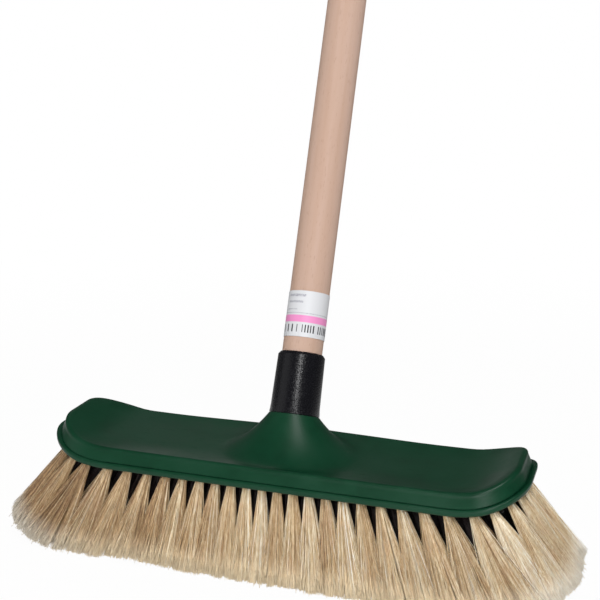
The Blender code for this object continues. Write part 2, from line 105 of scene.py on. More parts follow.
class Graph:
    """A material's node tree, with short calls that add and join its nodes."""

    def __init__(self, name: str) -> None:
        """Starts a material that has a plain surface shader.

        Args:
            name: The material's name.
        """
        self.material = bpy.data.materials.new(name)
        self.material.use_nodes = True
        self.tree = self.material.node_tree
        self.shader = self.tree.nodes["Principled BSDF"]

    def add(self, kind: str, inputs: dict | None = None, **settings: object) -> bpy.types.Node:
        """Adds one node.

        Args:
            kind: The node's type.
            inputs: Values or output sockets by input name or number.
            **settings: Properties of the node itself.

        Returns:
            The new node.
        """
        node = self.tree.nodes.new(kind)
        for name, value in settings.items():
            setattr(node, name, value)
        for name, value in (inputs or {}).items():
            self.feed(node.inputs[name], value)
        return node

    def feed(self, socket: bpy.types.NodeSocket, value: object) -> None:
        """Gives an input a constant, or a link where the value is an output.

        Args:
            socket: The input.
            value: The constant or the output.
        """
        if isinstance(value, bpy.types.NodeSocket):
            self.tree.links.new(value, socket)
        else:
            socket.default_value = value

    def finish(self, **inputs: object) -> bpy.types.Material:
        """Feeds the surface shader.

        Args:
            **inputs: Values or sockets by input name, with spaces as underscores.

        Returns:
            The finished material.
        """
        for name, value in inputs.items():
            self.feed(self.shader.inputs[name.replace("_", " ")], value)
        return self.material

    def math(self, operation: str, *values: object) -> bpy.types.NodeSocket:
        """One sum on plain numbers, as its output socket."""
        return self.add("ShaderNodeMath", dict(enumerate(values)), operation=operation).outputs[0]

    def band(self, value: object, low: float, high: float) -> bpy.types.NodeSocket:
        """One where the value lies between two limits, zero elsewhere.

        Args:
            value: The socket to test.
            low: The lower limit.
            high: The upper limit.

        Returns:
            The socket of the one or zero.
        """
        above = self.math("GREATER_THAN", value, low)
        below = self.math("LESS_THAN", value, high)
        return self.math("MULTIPLY", above, below)

    def spread(self, value: object, low: float, high: float,
               to_low: float = 0.0, to_high: float = 1.0) -> bpy.types.NodeSocket:
        """Carries a value smoothly from one range to another.

        Args:
            value: The socket to carry over.
            low: The lower end of its range.
            high: The upper end of its range.
            to_low: What the lower end becomes.
            to_high: What the upper end becomes.

        Returns:
            The carried value's socket.
        """
        node = self.add("ShaderNodeMapRange", interpolation_type="SMOOTHSTEP", inputs={
            "Value": value, "From Min": low, "From Max": high, "To Min": to_low, "To Max": to_high})
        return node.outputs[0]

    def place(self, turn: Point = (0, 0, 0), stretch: Point = (1, 1, 1)) -> bpy.types.NodeSocket:
        """Object coordinates, turned and then stretched.

        Args:
            turn: Angles about X, Y and Z.
            stretch: Factors along the turned axes.

        Returns:
            The coordinates' socket.
        """
        where = self.add("ShaderNodeTexCoord").outputs["Object"]
        turned = self.add("ShaderNodeMapping", {"Vector": where, "Rotation": turn}).outputs[0]
        return self.add("ShaderNodeMapping", {"Vector": turned, "Scale": stretch}).outputs[0]

    def noise(self, grain: Grain, turn: Point = (0, 0, 0)) -> bpy.types.NodeSocket:
        """A soft random value over the surface.

        Args:
            grain: The layer of noise.
            turn: Angles about X, Y and Z, which line its stretch up with the piece.

        Returns:
            The value's socket.
        """
        return self.add("ShaderNodeTexNoise", {
            "Vector": self.place(turn, grain.stretch), "Scale": grain.scale,
            "Detail": grain.detail, "Roughness": grain.roughness}).outputs[0]

    def ramp(self, value: object, stops: tuple[tuple[float, Colour], ...]) -> bpy.types.NodeSocket:
        """Colours by value.

        Args:
            value: The socket that picks the colour.
            stops: Places from zero to one with their colours.

        Returns:
            The colour's socket.
        """
        node = self.add("ShaderNodeValToRGB", {0: value})
        ramp = node.color_ramp
        while len(ramp.elements) < len(stops):
            ramp.elements.new(0.5)
        for element, (position, colour) in zip(ramp.elements, stops):
            element.position = position
            element.color = linear(colour)
        return node.outputs[0]

    def mix(self, factor: object, first: object, second: object,
            blend: str = "MIX") -> bpy.types.NodeSocket:
        """Blends two colours.

        Args:
            factor: How much of the second one is laid over the first.
            first: A colour, or the socket of one.
            second: A colour, or the socket of one.
            blend: How the second one is laid on.

        Returns:
            The blended colour's socket.
        """
        node = self.add("ShaderNodeMix", data_type="RGBA", blend_type=blend)
        for number, value in ((0, factor), (6, first), (7, second)):
            self.feed(node.inputs[number], linear(value) if isinstance(value, tuple) else value)
        return node.outputs[2]

    def bump(self, height: bpy.types.NodeSocket, strength: float,
             distance: float) -> bpy.types.NodeSocket:
        """Small relief.

        Args:
            height: The socket that gives the relief.
            strength: How much of it shows.
            distance: Its depth.

        Returns:
            The bent normal's socket.
        """
        return self.add("ShaderNodeBump", {
            "Height": height, "Strength": strength, "Distance": distance}).outputs[0]


# Finishes

@dataclass(frozen=True)
class BeechFinish:
    """Turned raw beech, its grain along the stick."""

    lean: float
    pale: Colour = (184, 157, 143)
    middle: Colour = (181, 153, 137)
    warm: Colour = (176, 146, 128)
    fleck: Colour = (156, 124, 106)
    broad_grain: Grain = Grain(150, 3, 0.55, (1, 1, 0.035))
    fine_grain: Grain = Grain(900, 3, 0.6, (1, 1, 0.05))
    fleck_grain: Grain = Grain(1500, 1, 0.4, (1, 1, 0.16))
    fine_share: float = 0.28
    fleck_share: float = 0.35
    fleck_height_share: float = 0.6
    roughness: Span = (0.68, 0.8)
    specular: float = 0.15
    relief: Relief = (0.12, 0.0002)

    def build(self) -> bpy.types.Material:
        """Makes the material.

        Returns:
            The finished material.
        """
        graph = Graph("beech")
        turn = (self.lean, 0, 0)
        broad = graph.noise(self.broad_grain, turn)
        fine = graph.noise(self.fine_grain, turn)
        flecks = graph.noise(self.fleck_grain, turn)
        colour = graph.ramp(broad, ((0.25, self.warm), (0.5, self.middle), (0.75, self.pale)))
        colour = graph.mix(graph.spread(fine, 0.5, 0.75, 0, self.fine_share), colour, self.warm)
        colour = graph.mix(graph.spread(flecks, 0.64, 0.74, 0, self.fleck_share), colour, self.fleck)
        height = graph.math("ADD", fine, graph.math("MULTIPLY", flecks, self.fleck_height_share))
        return graph.finish(
            Base_Color=colour, Roughness=graph.spread(fine, *NOISE_SPAN, *self.roughness),
            Specular_IOR_Level=self.specular, Normal=graph.bump(height, *self.relief))


@dataclass(frozen=True)
class PaperFinish:
    """A white printed label with plain bands and rules on it, by its own UV map.

    A rule has its height up the label, its start and end across it, and its thickness.
    """

    paper: Colour = (201, 202, 205)
    ink: Colour = (34, 32, 38)
    faint: Colour = (150, 150, 160)
    pink: Colour = (219, 134, 184)
    pink_band: Span = (0.315, 0.465)
    bar_band: Span = (0.095, 0.262)
    bars_across: Span = (0.10, 0.90)
    bars: float = 38.0
    bar_share: float = 0.68
    bar_widths: Span = (0.3, 0.9)
    rules: tuple[tuple[float, float, float, float], ...] = (
        (0.895, 0.34, 0.53, 0.055), (0.755, 0.34, 0.51, 0.045), (0.590, 0.33, 0.46, 0.020),
        (0.510, 0.30, 0.80, 0.016))
    patch_grain: Grain = Grain(1600, 1, 0.5)
    worn_ink: Span = (0.35, 1)
    fibre_grain: Grain = Grain(2600, 3, 0.6)
    roughness: Span = (0.42, 0.55)
    relief: Relief = (0.1, 0.00005)

    def build(self) -> bpy.types.Material:
        """Makes the material.

        Returns:
            The finished material.
        """
        graph = Graph("printed_label")
        chart = graph.add("ShaderNodeUVMap", uv_map="wrap").outputs[0]
        split = graph.add("ShaderNodeSeparateXYZ", {0: chart})
        across, up = split.outputs[0], split.outputs[1]
        place = graph.math("MULTIPLY", across, self.bars)
        chance = graph.add("ShaderNodeTexWhiteNoise", {"W": graph.math("FLOOR", place)},
                           noise_dimensions="1D").outputs[0]
        filled = graph.math("LESS_THAN", chance, self.bar_share)
        width = graph.math("MULTIPLY", graph.spread(chance, 0, 1, *self.bar_widths), filled)
        bar = graph.math("LESS_THAN", graph.math("FRACT", place), width)
        dark = graph.math("MULTIPLY", bar, graph.band(up, *self.bar_band))
        dark = graph.math("MULTIPLY", dark, graph.band(across, *self.bars_across))
        colour = graph.mix(graph.band(up, *self.pink_band), self.paper, self.pink)
        colour = graph.mix(dark, colour, self.ink)
        patchy = graph.noise(self.patch_grain)
        for height, start, end, thickness in self.rules:
            tall = graph.band(up, height - thickness / 2, height + thickness / 2)
            inked = graph.math("MULTIPLY", tall, graph.band(across, start, end))
            worn = graph.math("MULTIPLY", inked, graph.spread(patchy, 0.4, 0.6, *self.worn_ink))
            colour = graph.mix(worn, colour, self.faint)
        fibre = graph.noise(self.fibre_grain)
        return graph.finish(
            Base_Color=colour, Roughness=graph.spread(fibre, *NOISE_SPAN, *self.roughness),
            Normal=graph.bump(fibre, *self.relief))


@dataclass(frozen=True)
class BlackPlasticFinish:
    """Moulded black plastic with a fine leathery grain that breaks up its highlight."""

    lean: float
    base: Colour = (12, 12, 16)
    worn: Colour = (22, 22, 27)
    leather_grain: Grain = Grain(1100, 2, 0.6)
    pit_scale: float = 1000.0
    pit_height_share: float = 0.8
    worn_share: float = 0.5
    roughness: Span = (0.2, 0.34)
    specular: float = 0.28
    relief: Relief = (0.3, 0.0003)

    def build(self) -> bpy.types.Material:
        """Makes the material.

        Returns:
            The finished material.
        """
        graph = Graph("grained_black_plastic")
        turn = (self.lean, 0, 0)
        grain = graph.noise(self.leather_grain, turn)
        pits = graph.add("ShaderNodeTexVoronoi", {"Vector": graph.place(turn), "Scale": self.pit_scale},
                         feature="SMOOTH_F1").outputs["Distance"]
        height = graph.math("ADD", grain, graph.math("MULTIPLY", pits, self.pit_height_share))
        colour = graph.mix(graph.spread(grain, 0.45, 0.8, 0, self.worn_share), self.base, self.worn)
        return graph.finish(
            Base_Color=colour, Roughness=graph.spread(grain, *NOISE_SPAN, *self.roughness),
            Specular_IOR_Level=self.specular, Normal=graph.bump(height, *self.relief))


@dataclass(frozen=True)
class GreenPlasticFinish:
    """Moulded satin green plastic with paler, greyer clouds, partly mottle and partly painted sheen, and a
    few rubbed places.
    """

    base: Colour = (9, 54, 34)
    mottle_and_sheen: Colour = (15, 57, 38)
    deep: Colour = (7, 47, 29)
    cloud_grain: Grain = Grain(38, 4, 0.6)
    skin_grain: Grain = Grain(1900, 2, 0.5)
    rubbed_grain: Grain = Grain(420, 3, 0.6, (0.25, 1, 1))
    skin_height_share: float = 0.5
    roughness: Span = (0.35, 0.42)
    rubbed_roughness: float = 0.08
    specular: float = 0.2
    relief: Relief = (0.07, 0.0002)

    def build(self) -> bpy.types.Material:
        """Makes the material.

        Returns:
            The finished material.
        """
        graph = Graph("satin_green_plastic")
        cloud, skin = graph.noise(self.cloud_grain), graph.noise(self.skin_grain)
        rubbed = graph.noise(self.rubbed_grain)
        # The paler, greyer stop is partly mottle in the moulding and partly a painted sheen.
        colour = graph.ramp(cloud, ((0.3, self.deep), (0.5, self.base), (0.72, self.mottle_and_sheen)))
        gloss = graph.spread(cloud, *NOISE_SPAN, *self.roughness)
        scuffed = graph.math("ADD", gloss, graph.spread(rubbed, 0.58, 0.75, 0, self.rubbed_roughness))
        height = graph.math("ADD", graph.math("MULTIPLY", skin, self.skin_height_share), rubbed)
        return graph.finish(
            Base_Color=colour, Roughness=scuffed, Specular_IOR_Level=self.specular,
            Normal=graph.bump(height, *self.relief))


@dataclass(frozen=True)
class HairFinish:
    """Natural hair, coloured strand by strand from the tone that each strand carries, with tips painted
    paler: partly the hair's pale ends and partly painted light on the shaded tips.
    """

    name: str
    tones: tuple[tuple[float, Colour], ...]
    tip: Colour
    tip_share: float
    tip_start: float
    stain: Colour
    tip_share_less: float = 0.2
    tip_share_more: float = 0.15
    stain_share: float = 0.28
    mid_tip: Colour = (255, 239, 208)
    mid_until: float = 0.10
    ends_from: float = 0.165
    streak_grain: Grain = Grain(900, 2, 0.6, (1, 1, 0.2))
    streak_tones: Span = (-0.12, 0.12)
    patch_grain: Grain = Grain(130, 2, 0.6, (1, 1, 0.3))
    roughness: float = 0.5
    specular: float = 0.4

    def build(self) -> bpy.types.Material:
        """Makes the material.

        Returns:
            The finished material.
        """
        graph = Graph(self.name)
        tone = graph.add("ShaderNodeAttribute", attribute_name="hair_tone").outputs["Fac"]
        reach = graph.add("ShaderNodeAttribute", attribute_name="hair_reach").outputs["Fac"]
        streak = graph.noise(self.streak_grain)
        varied = graph.math("ADD", tone, graph.spread(streak, 0.25, 0.75, *self.streak_tones))
        patch = graph.noise(self.patch_grain)
        colour = graph.ramp(varied, self.tones)
        colour = graph.mix(graph.spread(patch, 0.5, 0.72, 0, self.stain_share), colour, self.stain)
        along = graph.add("ShaderNodeSeparateXYZ", {0: graph.place()}).outputs[0]
        # Painted light: the tips are lifted towards a pale colour, warm in the middle of the head and
        # whiter at its ends, partly for the hair's pale ends and partly to light the shade among the sparse
        # tips.
        aside = graph.spread(graph.math("ABSOLUTE", along), self.mid_until, self.ends_from)
        tip = graph.mix(aside, self.mid_tip, self.tip)
        share = graph.spread(streak, *NOISE_SPAN, self.tip_share - self.tip_share_less,
                             self.tip_share + self.tip_share_more)
        paled_and_lit_tips = graph.math("MULTIPLY", graph.spread(reach, self.tip_start, 1), share)
        colour = graph.mix(paled_and_lit_tips, colour, tip)
        return graph.finish(Base_Color=colour, Roughness=self.roughness,
                            Specular_IOR_Level=self.specular)


PALE_HAIR = HairFinish(
    name="pale_hair",
    tones=((0.0, (118, 88, 60)), (0.2, (168, 135, 98)), (0.4, (203, 173, 131)),
           (0.6, (227, 209, 174)), (0.8, (242, 234, 216)), (1.0, (250, 249, 245))),
    tip=(255, 249, 236), tip_share=0.85, tip_start=0.68, stain=(196, 157, 124))
# The inner hair is painted dark from the root: partly dark hair in the mix, partly painted shade in the
# gaps between the outer tufts. Its pale tips are partly pale hair and partly painted light, as for the pale
# hair.
DARK_HAIR = HairFinish(
    name="dark_hair",
    tones=((0.0, (22, 13, 14)), (0.6, (40, 26, 26)), (1.0, (70, 52, 46))),
    tip=(240, 222, 190), tip_share=0.95, tip_start=0.6, stain=(52, 34, 30))


# Shared shapes

@dataclass(frozen=True)
class StickAxis:
    """The line that the neck, sleeve and stick are turned about."""

    setback: float = 0.0051
    height: float = 0.0683
    lean: float = radians(23.3)

    def matrix(self) -> Matrix:
        """Places a shape that was turned about Z on the line."""
        return Matrix.Translation((0, self.setback, self.height)) @ Matrix.Rotation(-self.lean, 4, "X")


@dataclass(frozen=True)
class HeadCurves:
    """The curves that the head's pieces share: its lifted ends, and where tufts start and end."""

    half_length: float = 0.14295
    half_width: float = 0.0380
    underside: float = 0.0560
    lip_top: float = 0.0602
    rim: float = 0.0683
    end_rise: float = 0.0121
    bend_start: float = 0.1000
    ring_half_length: float = 0.13545
    ring_half_width: float = 0.0305
    ring_corner: float = 0.0190
    row_end_share: float = 0.978
    pitch_growth: float = 0.00175
    side_tufts: int = 22
    end_tufts: int = 7
    fan_reach: float = 0.0360
    fan_power: float = 1.2
    splay: float = 0.24
    trim_start: float = 0.110
    trim_rise: float = 0.0185
    worn_place: float = -0.083
    worn_reach: float = 0.024
    worn_depth: float = 0.0017

    def past_bend(self, x: float) -> float:
        """How far along the lifted end x lies, from zero at its start to one at the tip."""
        return max(0.0, (abs(x) - self.bend_start) / (self.half_length - self.bend_start))

    def lifted(self, x: float) -> float:
        """How far the head is lifted at x."""
        return self.end_rise * self.past_bend(x) ** 2

    def row_place(self, index: float) -> float:
        """X of a tuft in a long row.

        Args:
            index: Its count from the middle of the row.

        Returns:
            Its place, in a pitch that grows towards the ends.
        """
        last = (self.side_tufts - 1) / 2
        reach = (self.ring_half_length - self.ring_corner) * self.row_end_share
        return reach * (index + self.pitch_growth * index ** 3) / (last + self.pitch_growth * last ** 3)

    def end_place(self, distance: float) -> tuple[Point, Point]:
        """A point of the right end's ring.

        Args:
            distance: How far along the ring it lies from the end's middle.

        Returns:
            The point, and the ring's direction there.
        """
        straight = self.ring_half_width - self.ring_corner
        side = 1 if distance >= 0 else -1
        length = abs(distance)
        if length <= straight:
            return (self.ring_half_length, side * length, self.underside), (0, 1, 0)
        angle = (length - straight) / self.ring_corner
        x = self.ring_half_length - self.ring_corner * (1 - cos(angle))
        y = straight + self.ring_corner * sin(angle)
        return (x, side * y, self.underside), (-side * sin(angle), cos(angle), 0)

    def end_pitch(self) -> float:
        """Distance between two tufts of an end, along the ring.

        Returns:
            The distance that spreads them evenly between the two long rows.
        """
        straight = self.ring_half_width - self.ring_corner
        last = (straight + self.ring_corner * pi / 2
                + (self.ring_half_length - self.ring_corner) * (1 - self.row_end_share))
        return 2 * last / (self.end_tufts + 1)

    def tip_place(self, x: float, y: float) -> Point:
        """Where the middle of a tuft ends.

        Args:
            x: Its root's place along the head.
            y: Its root's place across the head.

        Returns:
            The tip, fanned out along the head and splayed across it.
        """
        reach = self.fan_reach * (abs(x) / self.ring_half_length) ** self.fan_power
        tip_x = x + reach if x > 0 else x - reach
        return tip_x, y * (1 + self.splay), float(self.trim(np.array(tip_x)))

    def trim(self, x: Array) -> Array:
        """Height of the trimmed tips: flat on the floor in the middle, lifted at the ends."""
        full = self.ring_half_length + self.fan_reach - self.trim_start
        return self.trim_rise * (np.maximum(0, np.abs(x) - self.trim_start) / full) ** 2

    def worn(self, x: Array) -> Array:
        """How much the tips have worn off, which is most at one place on the left."""
        return self.worn_depth * np.exp(-((x - self.worn_place) / self.worn_reach) ** 2)


def settle(name: str, shape: bmesh.types.BMesh, material: bpy.types.Material,
           sharp: float | None) -> bpy.types.Object:
    """Turns a bmesh into a linked object with its place in its mesh.

    Args:
        name: The piece's name.
        shape: Its bmesh, which is freed.
        material: Its finish.
        sharp: The angle from which an edge stays sharp, or None for flat faces.

    Returns:
        The new object.
    """
    bmesh.ops.remove_doubles(shape, verts=shape.verts, dist=MERGE)
    bmesh.ops.recalc_face_normals(shape, faces=shape.faces)
    mesh = bpy.data.meshes.new(name)
    shape.to_mesh(mesh)
    shape.free()
    if sharp is not None:
        mesh.shade_smooth()
        mesh.set_sharp_from_angle(angle=sharp)
    mesh.materials.append(material)
    item = bpy.data.objects.new(name, mesh)
    bpy.context.scene.collection.objects.link(item)
    return item


def attach(item: bpy.types.Object, body: Body, slot: Slot, *nodes: str) -> bpy.types.Object:
    """Makes a piece ride on its body in the place of its CAD nodes.

    Args:
        item: The finished piece.
        body: The body that it moves with.
        slot: The record's slot for its finish; not used.
        *nodes: The nodes that it stands for.

    Returns:
        The same piece.
    """
    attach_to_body(item, body.value)
    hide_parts(*nodes)
    log.info("%s rides on %s for %d nodes", item.name, body.value, len(nodes))
    return item


def turned(profile: list[tuple[float, float]], steps: int) -> bmesh.types.BMesh:
    """Spins a profile of radius and height about Z.

    Args:
        profile: Its points. One that starts off the axis is closed on itself.
        steps: Facets in the full turn.

    Returns:
        The turned shape.
    """
    shape = bmesh.new()
    points = [shape.verts.new((radius, 0, height)) for radius, height in profile]
    edges = [shape.edges.new(pair) for pair in zip(points, points[1:])]
    if profile[0][0] > 0:
        edges.append(shape.edges.new((points[-1], points[0])))
    bmesh.ops.spin(shape, geom=points + edges, cent=(0, 0, 0), axis=(0, 0, 1), dvec=(0, 0, 0),
                   angle=2 * pi, steps=steps, use_merge=True)
    bmesh.ops.remove_doubles(shape, verts=shape.verts, dist=MERGE)
    bmesh.ops.recalc_face_normals(shape, faces=shape.faces)
    return shape


def soften(shape: bmesh.types.BMesh, offset: float, sharp: float, segments: int = 3) -> None:
    """Rounds the edges at which a shape turns sharply.

    Args:
        shape: The shape to round.
        offset: Size of the rounding.
        sharp: The angle from which an edge is rounded.
        segments: Facets in the rounding.
    """
    edges = [edge for edge in shape.edges if edge.is_manifold and edge.calc_face_angle() > sharp]
    bmesh.ops.bevel(shape, geom=edges, offset=offset, offset_type="OFFSET", affect="EDGES",
                    segments=segments, profile=0.5, material=-1, clamp_overlap=True)


class Skin:
    """A closed wall grown loop by loop: each extrusion is moved on to the next outline."""

    def __init__(self, outline: list[Point]) -> None:
        """Starts the skin.

        Args:
            outline: The points of its first loop.
        """
        self.shape = bmesh.new()
        made = bmesh.ops.create_circle(self.shape, cap_ends=False, segments=len(outline), radius=1)
        self.ring: list[bmesh.types.BMVert] = made["verts"]
        self.edges: list[bmesh.types.BMEdge] = self.shape.edges[:]
        self.first = self.ring
        self._put(outline)

    def _put(self, outline: list[Point]) -> None:
        """Moves the open loop's points to an outline."""
        for vert, place in zip(self.ring, outline):
            vert.co = place

    def grow(self, *outlines: list[Point]) -> None:
        """Extrudes the open loop once for each outline and moves it there.

        Args:
            *outlines: The points of each new loop.
        """
        for outline in outlines:
            made = bmesh.ops.extrude_edge_only(self.shape, edges=self.edges)["geom"]
            fresh = {item for item in made if isinstance(item, bmesh.types.BMVert)}
            self.ring = [next(edge.other_vert(vert) for edge in vert.link_edges
                              if edge.other_vert(vert) in fresh) for vert in self.ring]
            self.edges = [item for item in made if isinstance(item, bmesh.types.BMEdge)
                          and item.verts[0] in fresh and item.verts[1] in fresh]
            self._put(outline)

    def close(self, ring: list[bmesh.types.BMVert], stations: list[float]) -> None:
        """Closes a flat loop with a face, and slices it across X so that it can be bent.

        Args:
            ring: The loop to close.
            stations: Where it is sliced.
        """
        lid = [self.shape.faces.new(ring)]
        for station in stations:
            edges = list({edge for face in lid for edge in face.edges})
            verts = list({vert for face in lid for vert in face.verts})
            parts = lid + edges + verts
            cut = bmesh.ops.bisect_plane(self.shape, geom=parts, dist=MERGE,
                                         plane_co=(station, 0, 0), plane_no=(1, 0, 0))
            lid = [item for item in cut["geom"] if isinstance(item, bmesh.types.BMFace)]


@dataclass(frozen=True)
class Outline:
    """How finely an outline of the head is drawn, for a quarter turn."""

    long_steps: int = 28
    corner_steps: int = 20
    short_steps: int = 8

    def count(self) -> int:
        """Points in the whole outline."""
        return 4 * (self.long_steps + self.corner_steps + self.short_steps)

    def points(self, half_length: float, half_width: float, radius: float) -> list[tuple[float, float]]:
        """Points round a rounded rectangle, from the middle of its front edge towards +X.

        Args:
            half_length: Half its size along X.
            half_width: Half its size along Y.
            radius: Its corners' radius.

        Returns:
            The points, counter-clockwise.
        """
        long_end, short_end = half_length - radius, half_width - radius
        quarter = [(long_end * i / self.long_steps, -half_width) for i in range(self.long_steps)]
        for i in range(self.corner_steps):
            angle = pi / 2 * i / self.corner_steps
            quarter.append((long_end + radius * sin(angle), -short_end - radius * cos(angle)))
        quarter += [(half_length, -short_end * (1 - i / self.short_steps)) for i in range(self.short_steps)]
        right = quarter + [(half_length, 0.0)] + [(x, -y) for x, y in reversed(quarter[1:])]
        return right + [(-x, -y) for x, y in right]


def level(points: list[tuple[float, float]], z: float) -> list[Point]:
    """An outline at one height."""
    return [(x, y, z) for x, y in points]


def bend_stations(curves: HeadCurves, count: int = 10) -> list[float]:
    """Where flat faces of the head are sliced before its ends are lifted.

    Args:
        curves: The head's curves.
        count: How many slices each end gets.

    Returns:
        The places along X.
    """
    reach = curves.half_length - curves.bend_start
    places = [curves.bend_start + reach * i / count for i in range(count)]
    return [side * place for place in places for side in (-1, 1)]


def lift_ends(shape: bmesh.types.BMesh, curves: HeadCurves) -> None:
    """Lifts the ends of a flat-built shape."""
    for vert in shape.verts:
        vert.co.z += curves.lifted(vert.co.x)


# Head

@dataclass(frozen=True)
class TuftPlate:
    """The plate under the cover, whose rounded lip stands proud and from which the tufts come."""

    curves: HeadCurves
    outline: Outline
    corner: float = 0.0275
    lip_rounding: float = 0.0016
    core_inset: float = 0.0033
    side_ledge: float = 0.0011
    end_ledge: float = 0.0028
    cover_corner: float = 0.0270
    core_height: float = 0.0028
    rounding_steps: int = 5
    sharp: float = radians(40)

    def lip_loop(self, inset: float, z: float) -> list[Point]:
        """The lip's outline, some way in and at some height."""
        size = (self.curves.half_length - inset, self.curves.half_width - inset, self.corner - inset)
        return level(self.outline.points(*size), z)

    def core_loop(self, z: float) -> list[Point]:
        """The outline of the hidden core that fills the cover.

        Args:
            z: Its height.

        Returns:
            Its points.
        """
        size = (self.curves.half_length - self.end_ledge - self.core_inset,
                self.curves.half_width - self.side_ledge - self.core_inset,
                self.cover_corner - self.core_inset)
        return level(self.outline.points(*size), z)

    def build(self, finish: bpy.types.Material) -> bpy.types.Object:
        """Makes the plate.

        Args:
            finish: Its material.

        Returns:
            The finished piece.
        """
        low, high, radius = self.curves.underside, self.curves.lip_top, self.lip_rounding
        angles = [pi / 2 * i / self.rounding_steps for i in range(self.rounding_steps + 1)]
        bead = [(radius * (1 - sin(a)), low + radius * (1 - cos(a))) for a in angles]
        bead += [(radius * (1 - cos(a)), high - radius * (1 - sin(a))) for a in angles]
        skin = Skin(self.lip_loop(*bead[0]))
        skin.grow(*[self.lip_loop(inset, z) for inset, z in bead[1:]])
        skin.grow(self.core_loop(high), self.core_loop(high + self.core_height))
        stations = bend_stations(self.curves)
        skin.close(list(reversed(skin.first)), stations)
        skin.close(skin.ring, stations)
        lift_ends(skin.shape, self.curves)
        plate = settle("lip_plate", skin.shape, finish, self.sharp)
        return attach(plate, Body.HEAD, Slot.GREEN, "tuft_plate")


